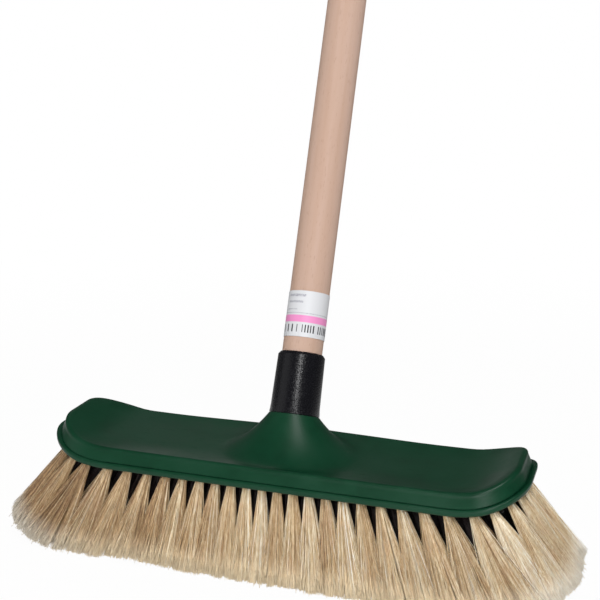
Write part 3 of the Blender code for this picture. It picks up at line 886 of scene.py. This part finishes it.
@dataclass(frozen=True)
class HeadCover:
    """The dished cover with a soft rim, and the neck that flares up from it to the sleeve."""

    curves: HeadCurves
    outline: Outline
    axis: StickAxis
    side_ledge: float = 0.0011
    end_ledge: float = 0.0028
    corner: float = 0.0270
    draft: float = 0.0026
    wall: float = 0.0030
    core_height: float = 0.0028
    rim_rounding: float = 0.0018
    end_rounding: float = 0.0038
    foot_rounding: float = 0.00025
    dish_depth: float = 0.0034
    dish_power: float = 2.2
    dish_squareness: float = 6.0
    rim_end_lift: float = 0.0070
    rim_lift_power: float = 3.0
    back_rise: float = 0.0013
    back_reach: float = 0.085
    flare_half_length: float = 0.0425
    flare_half_width: float = 0.0322
    flare_setback: float = 0.0015
    flare_power: float = 1.62
    neck_radius: float = 0.0150
    neck_rise: float = 0.0174
    bore_radius: float = 0.0123
    spigot_radius: float = 0.0134
    spigot_height: float = 0.0080
    socket_floor: float = 0.0025
    flare_steps: int = 16
    dish_steps: int = 14
    wall_steps: int = 5
    arc_steps: int = 6
    foot_steps: int = 3
    sharp: float = radians(40)

    def foot_size(self, inset: float = 0.0) -> Point:
        """Half length, half width and corner radius of the cover's foot, some way in."""
        return (self.curves.half_length - self.end_ledge - inset,
                self.curves.half_width - self.side_ledge - inset, self.corner - inset)

    def rim_height(self, x: float) -> float:
        """Height of the rim before the ends are lifted."""
        return self.curves.rim + self.rim_end_lift * self.curves.past_bend(x) ** self.rim_lift_power

    def dish_height(self, x: float, y: float) -> float:
        """Height of the hollow top.

        Args:
            x: Place along the head.
            y: Place across the head.

        Returns:
            The height before the ends are lifted.
        """
        half_length, half_width, _ = self.foot_size(self.draft)
        reach = (abs(x / half_length) ** self.dish_squareness
                 + abs(y / half_width) ** self.dish_squareness) ** (1 / self.dish_squareness)
        middle = max(0.0, 1 - (x / self.back_reach) ** 2) ** 2
        saddle = self.back_rise * middle * max(0.0, y / half_width) ** 2
        return self.rim_height(x) + saddle - self.dish_depth * (1 - min(1.0, reach) ** self.dish_power)

    def neck_loop(self, radius: float, height: float) -> list[Vector]:
        """A ring of points round the stick's axis, from its front towards +X.

        Args:
            radius: Its radius.
            height: How far up the axis it lies.

        Returns:
            Its points.
        """
        count = self.outline.count()
        angles = [2 * pi * i / count for i in range(count)]
        place = self.axis.matrix()
        return [place @ Vector((radius * sin(a), -radius * cos(a), height)) for a in angles]

    def flare_loops(self, seam: list[Vector]) -> list[list[Vector]]:
        """Loops from the neck's seam down to an oval base on the dish.

        Args:
            seam: The loop at the sleeve's foot.

        Returns:
            The loops, the last of them on the dish.
        """
        count = self.outline.count()
        base = []
        for i in range(count):
            x = self.flare_half_length * sin(2 * pi * i / count)
            y = self.flare_setback - self.flare_half_width * cos(2 * pi * i / count)
            base.append(Vector((x, y, self.dish_height(x, y))))
        loops = []
        for step in range(1, self.flare_steps + 1):
            share = step / self.flare_steps
            loop = [start.lerp(end, share) for start, end in zip(seam, base)]
            for point, start, end in zip(loop, seam, base):
                point.z = end.z + (start.z - end.z) * (1 - share) ** self.flare_power
            loops.append(loop)
        return loops

    def rim_loop(self, angle: float) -> list[Point]:
        """One loop of the rim's rounding, which is tighter along the sides than round the ends.

        Args:
            angle: How far round it lies, from zero on the dish to a quarter turn on the wall.

        Returns:
            Its points.
        """
        outer = self.outline.points(*self.foot_size(self.draft))
        inner = self.outline.points(*self.foot_size(self.draft + self.end_rounding))
        loop = []
        for (x, y), (in_x, in_y) in zip(outer, inner):
            radius = self.rim_rounding + (self.end_rounding - self.rim_rounding) * self.curves.past_bend(x)
            start, share = radius / self.end_rounding, radius * (1 - sin(angle)) / self.end_rounding
            height = self.dish_height(x + (in_x - x) * start, y + (in_y - y) * start)
            loop.append((x + (in_x - x) * share, y + (in_y - y) * share,
                         height - radius * (1 - cos(angle))))
        return loop

    def dish_loops(self, base: list[Vector]) -> list[list[Vector]]:
        """Loops over the dish, from the flare's base out to the rim.

        Args:
            base: The flare's last loop.

        Returns:
            The loops, the last of them at the rim.
        """
        rim = self.rim_loop(0)
        loops = []
        for step in range(1, self.dish_steps + 1):
            share = step / self.dish_steps
            loop = [start.lerp(Vector(end), share) for start, end in zip(base, rim)]
            for point in loop:
                point.z = self.dish_height(point.x, point.y)
            loops.append(loop)
        return loops

    def wall_loops(self) -> list[list[Point]]:
        """Loops over the rim's rounding and down the side wall to its rounded foot.

        Returns:
            The loops, the last of them under the foot's rounding.
        """
        loops = []
        for step in range(1, self.arc_steps + 1):
            loops.append(self.rim_loop(pi / 2 * step / self.arc_steps))
        foot = self.curves.lip_top + FIT_GAP
        top, low = loops[-1], level(self.outline.points(*self.foot_size()), foot + self.foot_rounding)
        for step in range(1, self.wall_steps + 1):
            share = step / self.wall_steps
            loops.append([tuple(a + (b - a) * share for a, b in zip(p, q)) for p, q in zip(top, low)])
        for step in range(1, self.foot_steps + 1):
            angle = pi / 2 * step / self.foot_steps
            inset = self.foot_rounding * (1 - cos(angle))
            loops.append(level(self.outline.points(*self.foot_size(inset)),
                               foot + self.foot_rounding * (1 - sin(angle))))
        return loops

    def build(self, finish: bpy.types.Material) -> bpy.types.Object:
        """Makes the cover.

        Args:
            finish: Its material.

        Returns:
            The finished piece.
        """
        top = self.neck_rise + self.spigot_height
        seam = self.neck_loop(self.neck_radius, self.neck_rise)
        flare = self.flare_loops(seam)
        foot = self.curves.lip_top + FIT_GAP
        ceiling = self.curves.lip_top + self.core_height + FIT_GAP
        inner = self.outline.points(*self.foot_size(self.wall))
        skin = Skin(self.neck_loop(self.bore_radius, self.socket_floor))
        skin.grow(self.neck_loop(self.bore_radius, top), self.neck_loop(self.spigot_radius, top),
                  self.neck_loop(self.spigot_radius, self.neck_rise), seam)
        skin.grow(*flare, *self.dish_loops(flare[-1]), *self.wall_loops())
        skin.grow(level(inner, foot), level(inner, ceiling))
        skin.close(list(reversed(skin.first)), [])
        skin.close(skin.ring, bend_stations(self.curves))
        lift_ends(skin.shape, self.curves)
        cover = settle("dished_cover", skin.shape, finish, self.sharp)
        return attach(cover, Body.HEAD, Slot.GREEN, "head_cover")


@dataclass(frozen=True)
class SocketSleeve:
    """The black sleeve round the socket, with a chamfered rim and a slight flare at its foot."""

    axis: StickAxis
    foot: float = 0.0177
    length: float = 0.0366
    foot_radius: float = 0.01505
    waist_radius: float = 0.01465
    top_radius: float = 0.01405
    flare_height: float = 0.0045
    chamfer: float = 0.0017
    land: float = 0.0004
    bore_radius: float = 0.0123
    counterbore: float = 0.0137
    ledge: float = 0.0257
    rounding: float = 0.0005
    rounded_from: float = radians(20)
    steps: int = 96
    sharp: float = radians(35)

    def build(self, finish: bpy.types.Material) -> bpy.types.Object:
        """Makes the sleeve.

        Args:
            finish: Its material.

        Returns:
            The finished piece.
        """
        top = self.foot + self.length
        shape = turned([
            (self.counterbore, self.foot), (self.foot_radius, self.foot),
            (self.waist_radius, self.foot + self.flare_height), (self.top_radius, top - self.chamfer),
            (self.bore_radius + self.land, top), (self.bore_radius, top),
            (self.bore_radius, self.ledge), (self.counterbore, self.ledge)], self.steps)
        soften(shape, self.rounding, self.rounded_from)
        bmesh.ops.transform(shape, matrix=self.axis.matrix(), verts=shape.verts)
        sleeve = settle("grained_sleeve", shape, finish, self.sharp)
        return attach(sleeve, Body.HEAD, Slot.BLACK, "socket_sleeve")


# Stick

@dataclass(frozen=True)
class Stick:
    """The turned beech stick with its rounded top."""

    axis: StickAxis
    radius: float = 0.0120
    foot: float = 0.0028
    length: float = 1.300
    top_rounding: float = 0.010
    foot_chamfer: float = 0.0012
    steps: int = 80
    arc_steps: int = 10
    sharp: float = radians(35)

    def build(self, finish: bpy.types.Material) -> bpy.types.Object:
        """Makes the stick.

        Args:
            finish: Its material.

        Returns:
            The finished piece.
        """
        top = self.foot + self.length
        flat = self.radius - self.top_rounding
        profile = [(0.0, self.foot), (self.radius - self.foot_chamfer, self.foot),
                   (self.radius, self.foot + self.foot_chamfer)]
        for step in range(self.arc_steps + 1):
            angle = pi / 2 * step / self.arc_steps
            profile.append((flat + self.top_rounding * cos(angle),
                            top - self.top_rounding * (1 - sin(angle))))
        shape = turned(profile + [(0.0, top)], self.steps)
        bmesh.ops.transform(shape, matrix=self.axis.matrix(), verts=shape.verts)
        stick = settle("beech_stick", shape, finish, self.sharp)
        return attach(stick, Body.STICK, Slot.BEECH, "handle")


@dataclass(frozen=True)
class StickLabel:
    """The paper label, wrapped most of the way round the stick with its slit at the back."""

    axis: StickAxis
    low: float = 0.0630
    height: float = 0.0274
    radius: float = 0.01212
    thickness: float = 0.00016
    wrap: float = 2 * pi * 33 / 40
    curl: float = 0.00022
    curl_from: float = 0.955
    curl_foot_share: float = 0.35
    columns: int = 96
    rows: int = 10
    sharp: float = radians(50)

    def bent(self, across: float, up: float) -> Vector:
        """Where a point of the flat label comes to lie.

        Args:
            across: Its share of the label's width.
            up: Its share of the label's height.

        Returns:
            The point round the stick, lifted a little at the free corner.
        """
        angle = (across - 0.5) * self.wrap - pi / 2
        near_edge = max(0.0, (across - self.curl_from) / (1 - self.curl_from)) ** 2
        near_top = self.curl_foot_share + (1 - self.curl_foot_share) * up ** 2
        radius = self.radius + self.curl * near_edge * near_top
        return Vector((radius * cos(angle), radius * sin(angle), self.low + self.height * up))

    def build(self, finish: bpy.types.Material) -> bpy.types.Object:
        """Makes the label.

        Args:
            finish: Its material.

        Returns:
            The finished piece.
        """
        shape = bmesh.new()
        bmesh.ops.create_grid(shape, x_segments=self.columns, y_segments=self.rows, size=0.5,
                              matrix=Matrix.Translation((0.5, 0.5, 0)))
        chart = shape.loops.layers.uv.new("wrap")
        for face in shape.faces:
            for loop in face.loops:
                loop[chart].uv = loop.vert.co.xy
        for vert in shape.verts:
            vert.co = self.bent(vert.co.x, vert.co.y)
        bmesh.ops.recalc_face_normals(shape, faces=shape.faces)
        outward = sum(face.normal.dot(face.calc_center_median().xy.to_3d()) for face in shape.faces)
        if outward < 0:
            bmesh.ops.reverse_faces(shape, faces=shape.faces)
        bmesh.ops.solidify(shape, geom=shape.faces[:], thickness=-self.thickness)
        bmesh.ops.transform(shape, matrix=self.axis.matrix(), verts=shape.verts)
        label = settle("striped_label", shape, finish, self.sharp)
        return attach(label, Body.STICK, Slot.PAPER, "handle_label")


# Hair

@dataclass(frozen=True)
class Tuft:
    """One tuft: where it leaves the plate, which way its row runs, and where its tips spread to."""

    root: Point
    tip: Point
    along: tuple[float, float]
    root_radius: float
    spread_along: float
    spread_out: float
    tuck: float
    tone: float


@dataclass(frozen=True)
class HairCut:
    """How the strands of a kind of tuft are made."""

    strands: int
    steps: int = 6
    locks: int = 20
    lock_pull: float = 0.24
    hollow: float = 0.36
    root_width: float = 0.00028
    tip_width: float = 0.00031
    thick_share: float = 0.22
    thick_factor: float = 1.45
    disorder: float = 0.08
    stray_share: float = 0.22
    stray_disorder: float = 0.30
    bow: float = 0.0004
    wave: float = 0.00035
    ragged: float = 0.0006
    lock_ragged: float = 0.0014
    end_slope: float = 0.3
    buried: float = 0.0015
    fan_power: float = 1.06
    tone_by_lock: float = 0.045
    tone_by_strand: float = 0.135
    tone_of_thick: float = 0.08
    tone_limits: Span = (0.02, 0.98)
    even_power: float = 0.5
    lock_disc: float = 0.92
    lock_reach: float = 1.04
    lock_bow_share: float = 0.8
    corner_reach: float = 0.065
    width_factors: Span = (0.8, 1.2)
    taper_power: float = 1.5


class HairPiece:
    """Several tufts as one piece: a three-sided strand, copied, and then laid along its own line."""

    def __init__(self, name: str, cut: HairCut, curves: HeadCurves, seed: int) -> None:
        """Starts the piece.

        Args:
            name: Its name.
            cut: How its strands are made.
            curves: The head's curves, for the trimmed face.
            seed: The seed of its random draws.
        """
        self.name = name
        self.cut = cut
        self.curves = curves
        self.random = np.random.default_rng(seed)

    def copies(self, count: int) -> tuple[bmesh.types.BMesh, int]:
        """One straight strand from zero to one along Z with a radius of one, copied in place.

        Args:
            count: How many strands there are.

        Returns:
            The shape, and the number of points in a strand.
        """
        shape = bmesh.new()
        bmesh.ops.create_cone(shape, cap_ends=True, cap_tris=False, segments=3, radius1=1, radius2=1,
                              depth=1, matrix=Matrix.Translation((0, 0, 0.5)))
        for step in range(1, self.cut.steps):
            bmesh.ops.bisect_plane(shape, geom=shape.verts[:] + shape.edges[:] + shape.faces[:],
                                   plane_co=(0, 0, step / self.cut.steps), plane_no=(0, 0, 1))
        sizes = [len(shape.verts), len(shape.edges), len(shape.faces)]
        made = 1
        while made < count:
            more = min(made, count - made)
            groups = (shape.verts[:], shape.edges[:], shape.faces[:])
            geom = [item for group, size in zip(groups, sizes) for item in group[:size * more]]
            bmesh.ops.duplicate(shape, geom=geom)
            made += more
        return shape, sizes[0]

    def disc(self, count: int, power: float) -> Array:
        """Random points over a disc of radius one.

        Args:
            count: How many there are.
            power: A half spreads them evenly, and less crowds them towards the rim.

        Returns:
            An array with a row for each point.
        """
        radius = self.random.random(count) ** power
        angle = self.random.random(count) * 2 * pi
        return np.stack([radius * np.cos(angle), radius * np.sin(angle)], axis=1)

    def comb(self, tuft: Tuft) -> dict[str, Array]:
        """Settles the line, width and tone of each strand of a tuft.

        Args:
            tuft: The tuft to fill.

        Returns:
            Arrays with a row for each strand.
        """
        cut, draw = self.cut, self.random
        count = cut.strands
        along = np.array([*tuft.along, 0.0])
        out = np.array([tuft.along[1], -tuft.along[0], 0.0])
        centres = self.disc(cut.locks, cut.even_power) * cut.lock_disc
        places = self.disc(count, cut.hollow)
        lock = np.argmin(((places[:, None] - centres[None]) ** 2).sum(axis=2), axis=1)
        rooted = (np.outer(places[:, 0], along) * tuft.root_radius
                  + np.outer(places[:, 1], out) * tuft.root_radius)
        stray = np.where(draw.random(count) < cut.stray_share, cut.stray_disorder, cut.disorder)
        loose = places + draw.normal(0, 1, (count, 2)) * stray[:, None]
        pulled = loose + (centres[lock] * cut.lock_reach - loose) * cut.lock_pull
        tip = (np.array(tuft.tip) + np.outer(pulled[:, 0], along) * tuft.spread_along
               + np.outer(pulled[:, 1] - tuft.tuck, out) * tuft.spread_out)
        corner = np.maximum(0, (np.abs(tip[:, 0]) - self.curves.trim_start) / cut.corner_reach)
        outer = corner * np.abs(along[1])
        slope = cut.end_slope * outer * pulled[:, 1] * tuft.spread_out
        shorter = draw.random(count) ** 2 * cut.ragged + draw.random(cut.locks)[lock] * cut.lock_ragged
        lift = self.curves.trim(tip[:, 0]) - self.curves.trim(np.array(tuft.tip[0]))
        tip[:, 2] = np.maximum(tuft.tip[2] + lift + slope, 0) + shorter + self.curves.worn(tip[:, 0])
        lock_bow = cut.bow * cut.lock_bow_share
        bow = draw.normal(0, cut.bow, (count, 3)) + draw.normal(0, lock_bow, (cut.locks, 3))[lock]
        wave = draw.normal(0, cut.wave, (count, 3))
        bow[:, 2] = wave[:, 2] = 0
        thick = np.where(draw.random(count) < cut.thick_share, cut.thick_factor, 1.0)
        tone = (tuft.tone + draw.normal(0, cut.tone_by_lock, cut.locks)[lock]
                + draw.normal(0, cut.tone_by_strand, count) + (thick > 1) * cut.tone_of_thick)
        root = np.array(tuft.root) + np.array([0, 0, cut.buried])
        middle = np.array(tuft.tip) - root
        return {"root": root + rooted, "middle": np.tile(middle, (count, 1)),
                "run": tip - root - rooted, "bow": bow, "wave": wave,
                "thick": thick * draw.uniform(*cut.width_factors, count),
                "tone": np.clip(tone, *cut.tone_limits)}

    def build(self, tufts: list[Tuft], finish: bpy.types.Material) -> bpy.types.Object:
        """Makes the piece.

        Args:
            tufts: Its tufts.
            finish: Its material.

        Returns:
            The object, not yet attached.
        """
        combed = [self.comb(tuft) for tuft in tufts]
        lines = {key: np.concatenate([part[key] for part in combed]) for key in combed[0]}
        shape, size = self.copies(len(lines["tone"]))
        mesh = bpy.data.meshes.new(self.name)
        shape.to_mesh(mesh)
        shape.free()
        flat = np.empty(len(mesh.vertices) * 3, dtype=np.float32)
        mesh.vertices.foreach_get("co", flat)
        local = flat.reshape(-1, 3).astype(float)
        strand = np.arange(len(local)) // size
        run = lines["run"]
        heading = run / np.linalg.norm(run, axis=1, keepdims=True)
        side = np.cross(heading, np.array([0.0, 1.0, 0.0]))
        side /= np.linalg.norm(side, axis=1, keepdims=True)
        front = np.cross(heading, side)
        share = local[:, 2]
        fanned = np.stack([share ** self.cut.fan_power, share ** self.cut.fan_power, share], axis=1)
        middle = lines["middle"][strand]
        taper = share ** self.cut.taper_power
        width = (self.cut.root_width + (self.cut.tip_width - self.cut.root_width) * taper) / 2
        width = width * lines["thick"][strand]
        place = (lines["root"][strand] + middle * share[:, None] + (run[strand] - middle) * fanned
                 + lines["bow"][strand] * np.sin(pi * share)[:, None]
                 + lines["wave"][strand] * (np.sin(2 * pi * share) * share)[:, None]
                 + side[strand] * (local[:, 0] * width)[:, None]
                 + front[strand] * (local[:, 1] * width)[:, None])
        mesh.vertices.foreach_set("co", place.astype(np.float32).ravel())
        for name, values in (("hair_tone", lines["tone"][strand]), ("hair_reach", share)):
            data = mesh.attributes.new(name, "FLOAT", "POINT").data
            data.foreach_set("value", values.astype(np.float32))
        mesh.update()
        corners = np.empty(len(mesh.polygons), dtype=np.int32)
        mesh.polygons.foreach_get("loop_total", corners)
        mesh.polygons.foreach_set("use_smooth", corners > 3)
        mesh.materials.append(finish)
        item = bpy.data.objects.new(self.name, mesh)
        bpy.context.scene.collection.objects.link(item)
        return item


@dataclass(frozen=True)
class BristleField:
    """All the tufts of the broom: pale ones round the edge and dark ones inside."""

    curves: HeadCurves
    outer: HairCut = HairCut(strands=600)
    inner: HairCut = HairCut(strands=84, steps=4, locks=4, tip_width=0.00018, ragged=0.0035)
    root_radius: float = 0.0020
    end_radius: float = 0.0018
    left_inset: float = 0.0045
    right_inset: float = 0.0018
    left_reach: float = 0.11
    reach_start: float = 0.098
    reach_full: float = 0.128
    inner_radius: float = 0.0024
    side_cover: float = 0.72
    side_depth: float = 0.0056
    side_tuck: float = 0.2
    end_cover: float = 1.0
    end_depth: float = 0.0036
    end_tuck: float = 0.8
    inner_spread: float = 0.0085
    inner_shares: tuple[float, ...] = (-0.667, -0.333, 0.0, 0.333, 0.667)
    left_tone: float = 0.32
    right_tone: float = 0.58
    tone_power: float = 1.3
    tone_spread: float = 0.05
    inner_tone: float = 0.5
    side_parts: tuple[tuple[int, int], ...] = ((1, 8), (9, 15), (16, 22))
    front_seed: int = 100
    back_seed: int = 200
    end_tuft_seed: int = 300
    end_hair_seed: int = 310
    inner_seed: int = 400

    def tone(self, x: float, draw: np.random.Generator) -> float:
        """A tuft's own shade: browner on the left, creamier on the right, none like the next.

        Args:
            x: Its place along the head.
            draw: The random draws.

        Returns:
            The shade, from zero for brown to one for white.
        """
        share = max(0.0, (x / self.curves.half_length + 1) / 2)
        paler = (self.right_tone - self.left_tone) * share ** self.tone_power
        return self.left_tone + paler + float(draw.normal(0, self.tone_spread))

    def tip(self, root: Point) -> Point:
        """Where a tuft ends, with the longer hair of the left end.

        Args:
            root: Where it leaves the plate.

        Returns:
            The middle of its tips.
        """
        share = (-root[0] - self.reach_start) / (self.reach_full - self.reach_start)
        longer = 1 + self.left_reach * min(1.0, max(0.0, share))
        tip = self.curves.tip_place(root[0], root[1])
        end = [start + (stop - start) * longer for start, stop in zip(root, tip)]
        return end[0], end[1], max(0.0, end[2])

    def side_tuft(self, index: float, side: int, draw: np.random.Generator) -> Tuft:
        """One tuft of a long outer row.

        Args:
            index: Its count from the middle of the row.
            side: Minus one for the front row, one for the back row.
            draw: The random draws.

        Returns:
            The tuft.
        """
        x, y = self.curves.row_place(index), side * self.curves.ring_half_width
        pitch = abs(self.curves.tip_place(self.curves.row_place(index + 0.5), y)[0]
                    - self.curves.tip_place(self.curves.row_place(index - 0.5), y)[0])
        root = (x, y, self.curves.underside + self.curves.lifted(x))
        return Tuft(root, self.tip(root), (float(-side), 0.0), self.root_radius, self.side_cover * pitch,
                    self.side_depth, self.side_tuck, self.tone(x, draw))

    def end_tuft(self, place: float, side: int, draw: np.random.Generator) -> Tuft:
        """One tuft of a rounded end.

        Args:
            place: Its count from the end's middle.
            side: Minus one for the left end, one for the right end.
            draw: The random draws.

        Returns:
            The tuft.
        """
        pitch = self.curves.end_pitch()
        (x, y, z), (along_x, along_y, _) = self.curves.end_place(place * pitch)
        root = (side * x, y, z + self.curves.lifted(x))
        corner = self.curves.ring_half_length - self.curves.ring_corner
        inset = (self.left_inset if side < 0 else self.right_inset) * (x - corner) / self.curves.ring_corner
        drawn_in = (root[0] - side * inset, y, root[2])
        return Tuft(drawn_in, self.tip(root), (along_x, side * along_y), self.end_radius,
                    self.end_cover * pitch, self.end_depth, self.end_tuck, self.tone(side * x, draw))

    def inner_tuft(self, index: float, y: float) -> Tuft:
        """One dark tuft of an inner row.

        Args:
            index: Its count from the middle of the row.
            y: The row's place across the head.

        Returns:
            The tuft.
        """
        x = self.curves.row_place(index)
        root = (x, y, self.curves.underside + self.curves.lifted(x))
        return Tuft(root, self.curves.tip_place(x, y), (1.0, 0.0), self.inner_radius, self.inner_spread,
                    self.inner_spread, 0.0, self.inner_tone)

    def build_side(self, row: str, side: int, finish: bpy.types.Material, seed: int) -> None:
        """Makes a long outer row in a few pieces.

        Args:
            row: The row's name in the nodes.
            side: Minus one for the front row, one for the back row.
            finish: Its material.
            seed: The seed of its random draws.
        """
        draw = np.random.default_rng(seed)
        middle = (self.curves.side_tufts - 1) / 2
        for part, (first, last) in enumerate(self.side_parts, start=1):
            tufts = [self.side_tuft(number - 1 - middle, side, draw) for number in range(first, last + 1)]
            piece = HairPiece(f"{row}_hair_{part}", self.outer, self.curves, seed + part)
            nodes = [f"{row}_tuft_{number:02d}" for number in range(first, last + 1)]
            attach(piece.build(tufts, finish), Body.HEAD, Slot.LIGHT_HAIR, *nodes)

    def build(self, light: bpy.types.Material, dark: bpy.types.Material) -> None:
        """Makes every tuft.

        Args:
            light: The material of the outer tufts.
            dark: The material of the inner tufts.
        """
        self.build_side("front", -1, light, self.front_seed)
        self.build_side("back", 1, light, self.back_seed)
        for number, (name, side) in enumerate((("left", -1), ("right", 1))):
            draw = np.random.default_rng(self.end_tuft_seed + number)
            half = (self.curves.end_tufts - 1) // 2
            tufts = [self.end_tuft(place, side, draw) for place in range(-half, half + 1)]
            piece = HairPiece(f"{name}_end_hair", self.outer, self.curves, self.end_hair_seed + number)
            attach(piece.build(tufts, light), Body.HEAD, Slot.LIGHT_HAIR, f"{name}_end_tufts")
        for row, share in enumerate(self.inner_shares):
            reach = self.curves.side_tufts // 2
            shift = 0.5 if row % 2 else 0.0
            places = [i + shift for i in range(-reach, reach + 1) if i + shift <= reach]
            tufts = [self.inner_tuft(place, share * self.curves.ring_half_width) for place in places]
            piece = HairPiece(f"inner_hair_{row + 1}", self.inner, self.curves, self.inner_seed + row)
            attach(piece.build(tufts, dark), Body.HEAD, Slot.DARK_HAIR, f"inner_tuft_row_{row + 1}")


# Stage

@dataclass(frozen=True)
class SoftLamp:
    """A rectangular soft lamp: its place, width and height, power, and the point that it faces."""

    name: str
    place: Point
    size: tuple[float, float]
    watts: float
    aim: Point = (0.0, 0.0, 0.08)
    mirrored: bool = True

    def build(self) -> None:
        """Hangs the lamp, out of the camera's sight."""
        data = bpy.data.lights.new(self.name, "AREA")
        data.shape = "RECTANGLE"
        data.size, data.size_y = self.size
        data.energy = self.watts
        lamp = bpy.data.objects.new(self.name, data)
        bpy.context.scene.collection.objects.link(lamp)
        away = Vector(self.place) - Vector(self.aim)
        facing = away.to_track_quat("Z", "Y").to_matrix().to_4x4()
        lamp.matrix_world = Matrix.Translation(self.place) @ facing
        lamp.visible_camera = False
        lamp.visible_glossy = self.mirrored


@dataclass(frozen=True)
class Studio:
    """A plain pale floor, soft lamps and the camera."""

    floor_size: float = 6.0
    floor_colour: Colour = (238, 238, 236)
    floor_roughness: float = 0.9
    floor_specular: float = 0.1
    floor_glow: float = 0.965
    clear_from: float = 0.25
    clear_to: float = 0.90
    dim_from: float = 0.10
    dim_to: float = 0.50
    dim_share: float = 0.85
    world_light: float = 0.26
    mirrored_light: float = 0.11
    azimuth: float = radians(18.62)
    elevation: float = radians(14.16)
    distance: float = 0.63235
    target: Point = (0.00763, 0.0, 0.15801)
    focal_length: float = 67.29
    sensor: float = 36.0
    clip_start: float = 0.01
    lamps: tuple[SoftLamp, ...] = (
        SoftLamp("front_strip", (0.24, -0.66, 0.72), (0.06, 0.55), 3.4),
        SoftLamp("low_softbox", (0.34, -1.12, 0.20), (0.80, 0.30), 5.5),
        SoftLamp("left_softbox", (-1.60, -1.00, 0.60), (1.60, 1.60), 5.0),
        SoftLamp("right_softbox", (0.44, -0.48, 1.21), (0.25, 0.25), 5.5),
        SoftLamp("shoulder_softbox", (-0.70, 1.45, 1.30), (0.35, 0.35), 0.5),
        SoftLamp("dish_softbox", (-0.36, 0.80, 0.13), (0.36, 0.24), 0.12),
        SoftLamp("left_back_softbox", (-2.10, 1.35, 0.70), (1.6, 1.4), 13.0, (0, 0.2, 0.4), False),
        SoftLamp("back_softbox", (0.90, 3.40, 0.60), (2.0, 1.2), 36.0, (0, 0.25, 0.60), False))

    def build_floor(self) -> None:
        """Lays the floor, which looks white, takes the broom's shadow and mirrors dimly behind it."""
        shape = bmesh.new()
        bmesh.ops.create_grid(shape, x_segments=1, y_segments=1, size=self.floor_size,
                              matrix=Matrix.Translation((0, 0, -FIT_GAP)))
        graph = Graph("pale_floor")
        graph.finish(Base_Color=linear(self.floor_colour), Roughness=self.floor_roughness,
                     Specular_IOR_Level=self.floor_specular)
        rays = graph.add("ShaderNodeLightPath").outputs
        where = graph.place()
        away = graph.add("ShaderNodeVectorMath", {0: where}, operation="LENGTH").outputs["Value"]
        glow_share = graph.spread(away, self.clear_from, self.clear_to, self.floor_glow, 1)
        mirrored = graph.math("MAXIMUM", rays["Is Transmission Ray"], rays["Is Glossy Ray"])
        seen = graph.math("MAXIMUM", rays["Is Camera Ray"], mirrored)
        behind = graph.add("ShaderNodeSeparateXYZ", {0: where}).outputs[1]
        dimmed = graph.math("MULTIPLY", rays["Is Glossy Ray"],
                            graph.spread(behind, self.dim_from, self.dim_to, 0, self.dim_share))
        strength = graph.math("SUBTRACT", 1.0, dimmed)
        glow = graph.add("ShaderNodeEmission", {"Color": (1, 1, 1, 1), "Strength": strength})
        mixed = graph.add("ShaderNodeMixShader", {
            0: graph.math("MULTIPLY", seen, glow_share), 1: graph.shader.outputs[0],
            2: glow.outputs[0]}).outputs[0]
        graph.feed(graph.tree.nodes["Material Output"].inputs["Surface"], mixed)
        settle("studio_floor", shape, graph.material, None)

    def build_world(self) -> None:
        """Gives a soft even light and a white background."""
        world = bpy.data.worlds.new("soft_studio")
        bpy.context.scene.world = world
        world.use_nodes = True
        tree = world.node_tree
        rays = tree.nodes.new("ShaderNodeLightPath").outputs
        seen = tree.nodes.new("ShaderNodeMath")
        seen.operation = "MAXIMUM"
        tree.links.new(rays["Is Camera Ray"], seen.inputs[0])
        tree.links.new(rays["Is Transmission Ray"], seen.inputs[1])
        bounced = tree.nodes.new("ShaderNodeMapRange")
        bounced.inputs["To Min"].default_value = self.world_light
        bounced.inputs["To Max"].default_value = self.mirrored_light
        tree.links.new(rays["Is Glossy Ray"], bounced.inputs["Value"])
        strength = tree.nodes.new("ShaderNodeMapRange")
        tree.links.new(bounced.outputs[0], strength.inputs["To Min"])
        strength.inputs["To Max"].default_value = 1.0
        tree.links.new(seen.outputs[0], strength.inputs["Value"])
        background = tree.nodes["Background"]
        background.inputs["Color"].default_value = (1, 1, 1, 1)
        tree.links.new(strength.outputs[0], background.inputs["Strength"])

    def build_camera(self) -> None:
        """Sets the camera at the photograph's viewing angle, with no shift."""
        back = Vector((sin(self.azimuth) * cos(self.elevation),
                       -cos(self.azimuth) * cos(self.elevation), sin(self.elevation)))
        right = Vector((cos(self.azimuth), sin(self.azimuth), 0))
        data = bpy.data.cameras.new("photo_camera")
        data.sensor_width = self.sensor
        data.lens = self.focal_length
        data.clip_start = self.clip_start
        camera = bpy.data.objects.new("photo_camera", data)
        bpy.context.scene.collection.objects.link(camera)
        turn = Matrix((right, back.cross(right), back)).transposed().to_4x4()
        camera.matrix_world = Matrix.Translation(Vector(self.target) + back * self.distance) @ turn
        bpy.context.scene.camera = camera

    def build(self) -> None:
        """Sets up the whole stage."""
        self.build_camera()
        self.build_floor()
        self.build_world()
        for lamp in self.lamps:
            lamp.build()


def main() -> None:
    """Builds the stage and every piece of the broom in order."""
    logging.basicConfig(level=logging.INFO, format="%(message)s")
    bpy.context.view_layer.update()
    scene = bpy.context.scene
    scene.view_settings.view_transform = "Standard"
    Studio().build()
    curves, outline, axis = HeadCurves(), Outline(), StickAxis()
    green = GreenPlasticFinish().build()
    TuftPlate(curves, outline).build(green)
    HeadCover(curves, outline, axis).build(green)
    SocketSleeve(axis).build(BlackPlasticFinish(axis.lean).build())
    Stick(axis).build(BeechFinish(axis.lean).build())
    StickLabel(axis).build(PaperFinish().build())
    BristleField(curves).build(PALE_HAIR.build(), DARK_HAIR.build())


if __name__ == "__main__":
    main()
